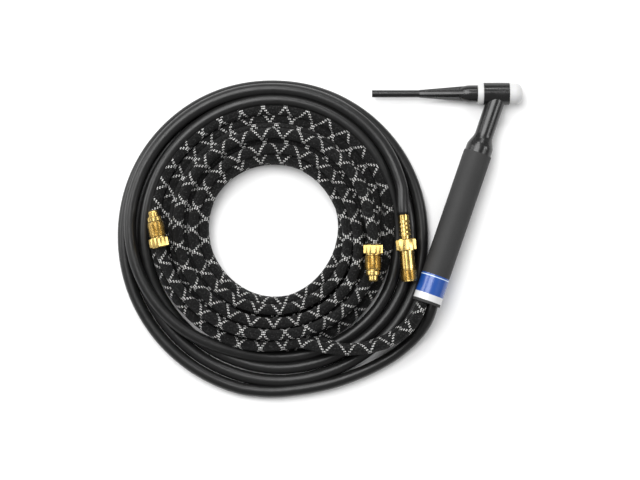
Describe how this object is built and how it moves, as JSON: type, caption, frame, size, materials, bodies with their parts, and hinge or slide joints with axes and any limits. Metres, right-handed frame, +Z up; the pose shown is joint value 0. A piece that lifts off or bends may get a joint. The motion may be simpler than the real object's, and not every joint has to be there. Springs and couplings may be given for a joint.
{
  "type": "tig torch",
  "caption": "Water-cooled welding torch with a long finned back cap, angled head, round handle and a flat coil of one smooth power cable and two braided hoses with brass fittings",
  "frame": {"origin": "on the ground, at the middle of the torch's own bounding box seen from above, without its hoses", "axes": "+Y runs up the torch from the open end of the handle to the head, +X is the way the nose points, +Z is up from the ground the torch lies on"},
  "size_m": [0.3774, 0.2962, 0.0397],
  "materials": {
    "phenolic": "glossy black moulded phenolic",
    "white_ptfe": "matte white fluoropolymer",
    "brass": "turned brass",
    "copper": "drawn copper",
    "seal_rubber": "black rubber seal",
    "handle_plastic": "matte charcoal plastic",
    "label": "glossy printed film",
    "smooth_hose": "smooth satin rubber",
    "braided_hose": "black textile braid with white tracer yarns"
  },
  "bodies": {
    "torch": {"head_insulation": "phenolic", "head_core": "brass", "rear_insulator": "white_ptfe", "cup_gasket": "white_ptfe", "power_tube": "copper", "water_tube": "copper", "gas_tube": "copper", "power_union_nut": "brass", "power_inner_nipple": "brass", "power_inner_ferrule": "brass", "water_inner_ferrule": "brass", "gas_inner_ferrule": "brass", "handle": "handle_plastic", "handle_label": "label", "power_lead": "smooth_hose", "water_lead": "braided_hose", "gas_lead": "braided_hose", "power_coil": "smooth_hose", "water_coil": "braided_hose", "gas_coil": "braided_hose", "power_tail": "smooth_hose", "water_tail": "braided_hose", "gas_tail": "braided_hose", "power_barb": "brass", "water_nipple": "brass", "water_ferrule": "brass", "gas_nipple": "brass", "gas_ferrule": "brass"},
    "nose_cap": {"nose_cap": "white_ptfe"},
    "cap_seal": {"back_cap_oring": "seal_rubber"},
    "back_cap": {"back_cap": "phenolic"},
    "power_nut": {"power_nut": "brass"},
    "water_nut": {"water_nut": "brass"},
    "gas_nut": {"gas_nut": "brass"}
  },
  "joints": [
    {"name": "back_cap_draw", "type": "slide", "parent": "torch", "child": "cap_seal", "axis": [-1, 0, 0], "range_m": [0, 0.008]},
    {"name": "back_cap_turn", "type": "hinge", "parent": "cap_seal", "child": "back_cap", "pos_m": [0.0285, 0.0946, 0.0104], "axis": [-1, 0, 0], "range_deg": [0, 3600]},
    {"name": "nose_cap_pull", "type": "slide", "parent": "torch", "child": "nose_cap", "axis": [1, 0, 0], "range_m": [0, 0.06]},
    {"name": "power_nut_turn", "type": "hinge", "parent": "torch", "child": "power_nut", "pos_m": [-0.0393, -0.0406, 0.025], "axis": [0.0906, -0.9959, 0], "continuous": true},
    {"name": "water_nut_turn", "type": "hinge", "parent": "torch", "child": "water_nut", "pos_m": [-0.266, -0.0485, 0.0308], "axis": [-0.1994, 0.9799, 0], "continuous": true},
    {"name": "gas_nut_turn", "type": "hinge", "parent": "torch", "child": "gas_nut", "pos_m": [-0.0695, -0.0456, 0.0308], "axis": [0, -1, 0], "continuous": true}
  ],
  "couplings": [
    {"joint": "back_cap_draw", "follows": "back_cap_turn", "m_per_rad": 0.00012633}
  ]
}
